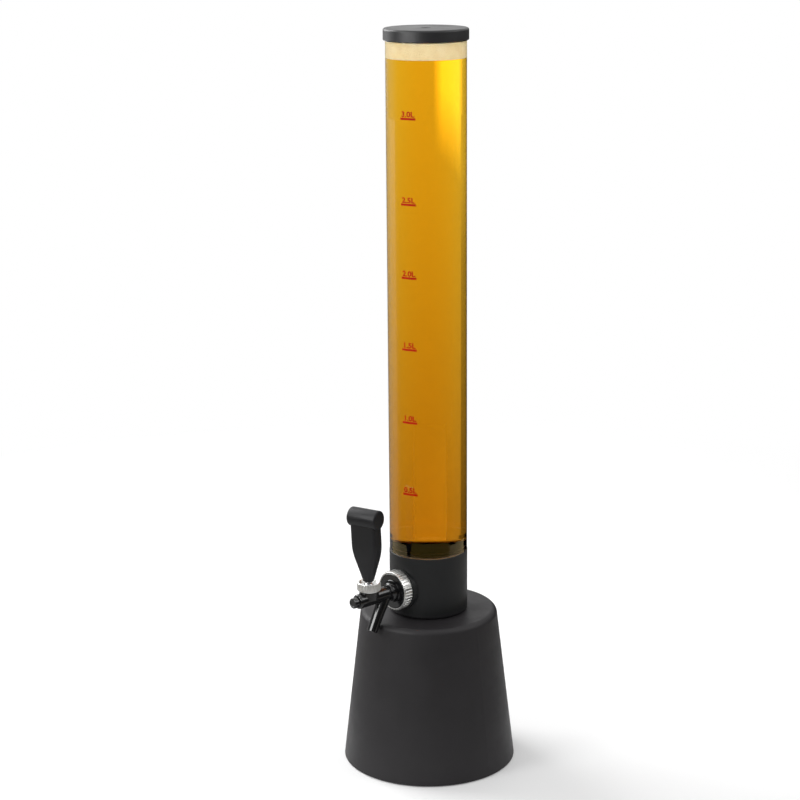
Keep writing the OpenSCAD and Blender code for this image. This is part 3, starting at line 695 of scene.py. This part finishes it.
def leverBonnet():
    # open below for the body's neck, with a plate over the ball and a recess above it
    size = bonnetSize
    low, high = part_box("lever_bonnet")
    outer = high.x - size["ridgeRadius"]
    recess, hole, neck = size["recess"], size["hole"], size["neck"]
    top = size["plate"] + size["plateThick"]
    outline = [(size["inner"], low.z)] + bevelledSide(outer, low.z, high.z, size["bevel"])
    outline += [(recess + size["chamfer"], high.z), (recess, high.z - size["chamfer"]), (recess, top)]
    outline += [(hole, top), (hole, size["plate"]), (neck, size["plate"])]
    outline += [(neck, size["neckTop"]), (size["inner"], size["neckTop"])]
    ring = lathe("bonnetRing", outline, size["steps"])
    grown = knurled("lever_bonnet_knurled", ring, size, outer, low.z, high.z)
    middle = (low + high) / 2
    grown.transform(Matrix.Translation((middle.x, middle.y, 0)))
    return sharpen(grown, 40)


coupling = addObject("coupling_nut_knurled", couplingNut(), chromePlate)
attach(coupling, "tower")
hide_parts("coupling_nut")
bonnet = addObject("lever_bonnet_knurled", leverBonnet(), chromePlate)
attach(bonnet, "tower")
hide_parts("lever_bonnet")
print("rings knurled")


leverJoint = next(j for j in frame["joints"] if j["name"] == "lever_tip")
pivot = Vector(leverJoint["pos_m"])
handleSize = {  # heights are above the ball's centre
    "lean": 3.0,  # degrees forward with the tap closed
    "turn": 14.0,  # degrees on its stud
    "foot": 6.6 * mm,
    "neckRadius": 6.2 * mm,
    "footBevel": 1.2 * mm,
    "waistAt": 0.4,  # the waist's place, width and thickness between foot and full, as shares
    "waistWidth": 0.46,
    "waistThick": 0.3,
    "waistCorner": 5.9 * mm,
    "easeLength": 8 * mm,  # below full width, the paddle is drawn in by these
    "easeWidth": 3.2 * mm,
    "easeThick": 1 * mm,
    "fullAt": 45 * mm,
    "width": 32.5 * mm,
    "thick": 17 * mm,
    "corner": 3.2 * mm,
    "ringStep": 2.2 * mm,
    "easings": 6,
    "headAt": 82.6 * mm,
    "headRadius": 11 * mm,
    "headLength": 38 * mm,
    "headEdge": 1.8 * mm,
}


def roundedRing(width, thick, corner, z, steps=7):
    least = 0.01 * mm  # of flat left on each side
    corner = min(corner, width / 2 - least, thick / 2 - least)
    points = []
    for right, front, start in ((1, 1, 0), (-1, 1, 90), (-1, -1, 180), (1, -1, 270)):
        x, y = right * (width / 2 - corner), front * (thick / 2 - corner)
        points += arcPoints(x, y, corner, start, start + 90, steps)
    return [(x, y, z) for x, y in points]


def paddleRings():
    # height, width, thickness and corner radius of each ring, from the foot up
    size = handleSize
    foot, bevel, slack = 2 * size["neckRadius"], size["footBevel"], 0.1 * mm
    footAt, fullAt = size["foot"], size["fullAt"]
    width, thick, corner = size["width"], size["thick"], size["corner"]
    waist = (
        footAt + size["waistAt"] * (fullAt - footAt),
        foot + size["waistWidth"] * (width - foot),
        foot + size["waistThick"] * (thick - foot),
        size["waistCorner"],
    )
    keys = [
        (footAt, foot - 2 * bevel, foot - 2 * bevel, foot / 2 - bevel - slack),
        (footAt + bevel, foot, foot, foot / 2 - slack),
        waist,
        (fullAt - size["easeLength"], width - size["easeWidth"], thick - size["easeThick"], corner),
        (fullAt, width, thick, corner),
        (size["headAt"], width, thick, corner),
    ]
    rings = []
    for low, high in zip(keys, keys[1:]):
        steps = max(2, int((high[0] - low[0]) / size["ringStep"]))
        for i in range(steps):
            rings.append(tuple(a + (b - a) * i / steps for a, b in zip(low, high)))
    rings.append(keys[-1])
    # the sizes are eased from ring to ring, so that no crease crosses the paddle
    for _ in range(size["easings"]):
        means = [tuple(sum(v) / 3 for v in zip(a, b, c)) for a, b, c in zip(rings, rings[1:], rings[2:])]
        eased = [(ring[0], *mean[1:]) for mean, ring in zip(means[1:], rings[2:-1])]
        rings = rings[:2] + eased + rings[-1:]
    return rings


def paddleMesh():
    rings = paddleRings()
    points, faces = [], []
    for z, width, thick, corner in rings:
        points += roundedRing(width, thick, corner, z)
    count = len(points) // len(rings)
    for i in range(len(rings) - 1):
        here, above = i * count, (i + 1) * count
        for k in range(count):
            nextK = (k + 1) % count
            faces.append((here + k, here + nextK, above + nextK, above + k))
    faces.append(tuple(reversed(range(count))))
    faces.append(tuple(range(len(points) - count, len(points))))
    return meshFrom("paddle", points, faces, 1e-6)


def headMesh():
    size = handleSize
    length, radius, edge = size["headLength"], size["headRadius"], size["headEdge"]
    outline = [(0, 0)] + bevelledSide(radius, 0, length, edge, 6) + [(0, length)]
    mesh = lathe("head", outline, 64)
    place = Matrix.Translation((-length / 2, 0, size["headAt"]))
    mesh.transform(place @ Matrix.Rotation(math.pi / 2, 4, "Y"))
    return mesh


def leverHandle():
    size = handleSize
    mesh = joinMeshes("handle_moulded", [paddleMesh(), headMesh()])
    place = Matrix.Translation(pivot) @ Matrix.Rotation(math.radians(size["lean"]), 4, "X")
    mesh.transform(place @ Matrix.Rotation(math.radians(size["turn"]), 4, "Z"))
    return sharpen(mesh, 40)


handle = addObject("handle_moulded", leverHandle(), plastic["handlePlastic"])
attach(handle, "lever")
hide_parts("handle")
print("handle moulded")


def seenRays(tree):
    # 1 for what the camera sees directly, in gloss or through glass, else 0
    path = tree.nodes.new("ShaderNodeLightPath").outputs
    direct = mathNode(tree, "ADD", path["Is Camera Ray"], path["Is Glossy Ray"])
    return mathNode(tree, "ADD", direct, path["Is Transmission Ray"], True)


floorSize = {
    "half": 12.0,
    "tone": (0.86, 0.86, 0.86, 1),
    "roughness": 0.9,
    "lift": 0.115,  # added to what the lamps give, so that the floor reads white beside its shadow
    "fadeStart": 0.55,  # from here to fadeEnd it turns into the white backdrop
    "fadeEnd": 1.5,
}


def stageFloor():
    size = floorSize
    half = size["half"]
    corners = [(-half, -half, 0), (half, -half, 0), (half, half, 0), (-half, half, 0)]
    mesh = bpy.data.meshes.new("floor")
    mesh.from_pydata(corners, [], [(0, 1, 2, 3)])
    finish = Finish("paleFloor", {
        "Base Color": size["tone"],
        "Roughness": size["roughness"],
        "Specular IOR Level": 0.0,
    })
    seen = seenRays(finish.tree)
    glow, white = finish.add("ShaderNodeEmission"), finish.add("ShaderNodeEmission", Strength=1.0)
    finish.link(finish.math("MULTIPLY", seen, size["lift"]), glow.inputs["Strength"])
    near = finish.add("ShaderNodeAddShader")
    finish.link(finish.shader.outputs[0], near.inputs[0])
    finish.link(glow.outputs[0], near.inputs[1])
    fade = finish.spread(finish.reach(), 0, 1, size["fadeStart"], size["fadeEnd"])
    both = finish.add("ShaderNodeMixShader")
    finish.link(finish.math("MULTIPLY", fade, seen), both.inputs[0])
    finish.link(near.outputs[0], both.inputs[1])
    finish.link(white.outputs[0], both.inputs[2])
    finish.surface(both)
    addObject("floor", mesh, finish.material)


# Cards of the studio, strips round the tower that no camera ray meets. An upright card has its
# azimuth from and to, in degrees from +X, its distance, and its low and high edge. A flat card
# has its azimuth from and to, its near and far edge, and its height.
# The dark cards stand for the room in front of the tower: they darken what is mirrored in it, and
# what is seen straight through the drink stays white.
darkWall = (150, 486, 2.6, 0.0, 1.6)
darkFloor = (150, 486, 0.2, 2.6, 0.002)
darkLevels = {
    "near": (0.66, 0.76, 0.6),  # paler near the tower: distances over which that ends, and the level
    "left": (-0.98, -0.64, 0.27),  # paler at the left end: X over distance where that ends, and the level
    "top": (0.8, 1.6),  # the wall fades to white between these heights
    "foam": 1.9,  # what the cards still give to the foam through the clear wall, up to foamTop
    "foamTop": 0.82,
}
glowCard = (139, 176, 1.2, 0.3, 1.3)
glowLevels = {  # the bright patch in the upper right of the drink
    "bright": 2.15,
    "slant": 0.11,  # its lower end rises by this much a metre towards the back
    "low": 0.475,
    "high": 0.595,
    "leftFade": (0.1, 0.3),  # both by Y
    "rightFade": (0.66, 0.76),
}
edgeCard = (168, 216, 0.5, 0.0, 0.7)
edgeLevels = {"foot": 0.36, "top": 0.68, "bendZ": 0.5, "fadeZ": 0.62}  # the drink's dark right edge
footCards = {  # flat, amber light on the dark band under the drink, with level and colour
    "footLeft": ((186, 260, 0.755, 0.83, 0.004), 0.95, (1.0, 0.8, 0.4)),
    "footMiddle": ((260, 380, 0.775, 0.85, 0.004), 0.5, (1.0, 0.7, 0.16)),
    "footRight": ((380, 444, 0.755, 0.83, 0.004), 1.05, (1.0, 0.78, 0.4)),
}
stripCard = (250, 290, 1.9, 0.69, 1.1)  # a strip light that only gloss shows: the sheen on the lid's side
stripLevel = 10.0


def stripMesh(name, start, end, first, second, steps=48):
    # first and second are the (distance, height) of the strip's two edges
    points, faces = [], []
    for i in range(steps + 1):
        turn = math.radians(start + (end - start) * i / steps)
        points += [(away * math.cos(turn), away * math.sin(turn), z) for away, z in (first, second)]
    for i in range(steps):
        faces.append((2 * i, 2 * i + 2, 2 * i + 3, 2 * i + 1))
    mesh = bpy.data.meshes.new(name)
    mesh.from_pydata(points, [], faces)
    return mesh


def uprightStrip(name, start, end, away, low, high):
    return stripMesh(name, start, end, (away, low), (away, high))


def flatStrip(name, start, end, near, far, height):
    return stripMesh(name, start, end, (near, height), (far, height))


def glowingCard(name, level, colour=(1.0, 1.0, 1.0)):
    # level is a number, or a function that builds the nodes for the level of each point
    finish = Finish(name)
    glow = finish.add("ShaderNodeEmission", Color=(*colour, 1))
    if callable(level):
        finish.link(level(finish), glow.inputs["Strength"])
    else:
        glow.inputs["Strength"].default_value = level
    finish.surface(glow)
    return finish.material


def darkLevel(finish):
    # white until the ray has been mirrored once, and dark after that but for the pale parts
    size = darkLevels
    path = finish.add("ShaderNodeLightPath").outputs
    straight = finish.math("SUBTRACT", 1.0, path["Glossy Depth"], True)
    place, reach = finish.axes(), finish.reach()
    start, end, level = size["near"]
    near = finish.spread(reach, level, 0, start, end)
    start, end, level = size["left"]
    left = finish.spread(finish.math("DIVIDE", place["X"], reach), level, 0, start, end)
    start, end = size["top"]
    high = finish.spread(place["Z"], 0, 1, start, end)
    pale = finish.math("MAXIMUM", finish.math("MAXIMUM", near, left), high)
    inFoam = finish.math("MULTIPLY", finish.math("MINIMUM", path["Diffuse Depth"], 1.0), size["foam"])
    inFoam = finish.math("MULTIPLY", inFoam, finish.spread(place["Z"], 1, 0, start, size["foamTop"]))
    return finish.math("ADD", finish.math("MAXIMUM", straight, pale), inFoam)


def glowLevel(finish):
    # brighter than the backdrop high up, with soft ends; the lower end slants round the card
    size = glowLevels
    place = finish.axes()
    slanted = finish.math("SUBTRACT", place["Z"], finish.math("MULTIPLY", place["Y"], size["slant"]))
    rise = finish.spread(slanted, 0, 1, size["low"], size["high"])
    right = finish.spread(place["Y"], 1, 0, *size["rightFade"])
    left = finish.spread(place["Y"], 0, 1, *size["leftFade"])
    glow = finish.math("MULTIPLY", rise, finish.math("MULTIPLY", right, left))
    return finish.spread(glow, 1.0, size["bright"], 0, 1)


def edgeLevel(finish):
    # darker than the backdrop low down, and as bright as it from fadeZ up
    size = edgeLevels
    height = finish.axes()["Z"]
    low = finish.spread(height, size["foot"], size["top"], 0, size["bendZ"])
    return finish.math("ADD", low, finish.spread(height, 0, 1.0 - size["top"], size["bendZ"], size["fadeZ"]))


def stageCard(name, mesh, material, glossy=True, through=True):
    # glossy and through say whether mirrored rays and rays through the drink meet the card
    card = addObject(name, mesh, material)
    card.visible_camera = card.visible_diffuse = card.visible_shadow = False
    card.visible_glossy, card.visible_transmission = glossy, through


def studioCards():
    dark = glowingCard("darkRoom", darkLevel)
    stageCard("darkWall", uprightStrip("darkWall", *darkWall), dark)
    stageCard("darkFloor", flatStrip("darkFloor", *darkFloor), dark)
    glow, edge = uprightStrip("glowCard", *glowCard), uprightStrip("edgeCard", *edgeCard)
    stageCard("glowCard", glow, glowingCard("glowCard", glowLevel), glossy=False)
    stageCard("edgeCard", edge, glowingCard("edgeCard", edgeLevel), glossy=False)
    for name, (place, level, colour) in footCards.items():
        stageCard(name, flatStrip(name, *place), glowingCard(name, level, colour), through=False)
    strip = uprightStrip("stripCard", *stripCard)
    stageCard("stripCard", strip, glowingCard("stripCard", stripLevel), through=False)


lamps = {  # place, the point that it lights, width, height and power in watts
    "leftSoftbox": ((-2.1, -0.4, 1.55), (0, 0, 0.4), 1.8, 1.7, 55),
    "frontSoftbox": ((-0.4, -1.8, 1.5), (0, 0, 0.25), 0.7, 0.9, 11),
    "rightSoftbox": ((1.3, 1.0, 1.5), (0, 0, 0.2), 0.9, 0.9, 6.5),
    "overhead": ((-0.4, 0.2, 2.6), (0, 0, 0.2), 1.6, 1.6, 10),
}


def softLight(name, place, target, width, height, power):
    data = bpy.data.lights.new(name, "AREA")
    data.shape = "RECTANGLE"
    data.size, data.size_y, data.energy = width, height, power
    light = bpy.data.objects.new(name, data)
    light.location = place
    light.rotation_euler = (Vector(target) - Vector(place)).to_track_quat("-Z", "Y").to_euler()
    light.visible_transmission = False
    bpy.context.scene.collection.objects.link(light)


worldLevels = {"seen": 1.0, "lighting": 0.5}  # what is seen is white, and it lights at half of that


def whiteWorld():
    world = bpy.data.worlds.new("studio")
    bpy.context.scene.world = world
    world.use_nodes = True
    tree = world.node_tree
    back = tree.nodes["Background"]
    back.inputs["Color"].default_value = (1, 1, 1, 1)
    level = tree.nodes.new("ShaderNodeMapRange")
    level.inputs["To Min"].default_value = worldLevels["lighting"]
    level.inputs["To Max"].default_value = worldLevels["seen"]
    tree.links.new(seenRays(tree), level.inputs["Value"])
    tree.links.new(level.outputs["Result"], back.inputs["Strength"])


viewSize = {
    "away": 2.25,  # horizontal distance from the tower's axis
    "height": 1.0173,
    "side": 46.3743,  # degrees from the tap's direction towards +X
    "pan": 0.8039,  # degrees to the left of the axis
    "pitch": 14.5454,
    "roll": -0.4725,
    "lens": 91.5732,
    "sensor": 36,
    "farthest": 100,
}


def photoCamera():
    size = viewSize
    side = math.radians(size["side"])
    data = bpy.data.cameras.new("view")
    data.lens, data.sensor_width, data.clip_end = size["lens"], size["sensor"], size["farthest"]
    camera = bpy.data.objects.new("view", data)
    turn = Matrix.Rotation(side + math.radians(size["pan"]), 4, "Z")
    turn = turn @ Matrix.Rotation(math.radians(90 - size["pitch"]), 4, "X")
    turn = turn @ Matrix.Rotation(math.radians(size["roll"]), 4, "Z")
    spot = Vector((size["away"] * math.sin(side), -size["away"] * math.cos(side), size["height"]))
    camera.matrix_world = Matrix.Translation(spot) @ turn
    bpy.context.scene.collection.objects.link(camera)
    bpy.context.scene.camera = camera


stageFloor()
studioCards()
whiteWorld()
for name, values in lamps.items():
    softLight(name, *values)
photoCamera()
bpy.context.scene.view_settings.view_transform = "Standard"
print("stage set")
